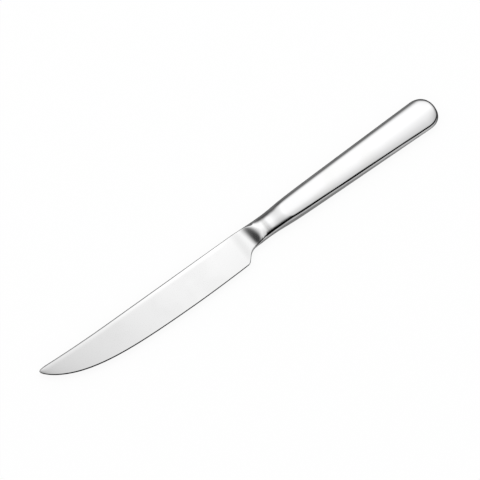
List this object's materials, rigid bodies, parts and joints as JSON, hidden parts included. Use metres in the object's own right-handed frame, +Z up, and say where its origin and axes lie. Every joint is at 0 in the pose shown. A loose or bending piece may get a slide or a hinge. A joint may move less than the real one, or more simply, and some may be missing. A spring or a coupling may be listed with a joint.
{
  "type": "steak knife",
  "caption": "All-steel steak knife with a plain upswept blade, a forged bolster and a hollow flattened-oval handle of brazed half shells, lying on its side.",
  "frame": {"origin": "on the small flat on the far half of the handle, on which the knife lies, where the handle is thickest", "axes": "+X along the handle's middle line to the handle's end, +Y to the spine, +Z up with the knife lying on its side"},
  "size_m": [0.232, 0.0203, 0.0064],
  "materials": {
    "blade_steel": "finely polished stainless steel",
    "handle_steel": "mirror polished stainless steel",
    "braze": "polished flush silver braze",
    "cement": "set handle cement"
  },
  "bodies": {
    "root": {"blade": "blade_steel", "handle_half_near": "handle_steel", "handle_half_far": "handle_steel", "seam_braze": "braze", "neck_braze": "braze", "tang_cement": "cement"}
  },
  "joints": []
}
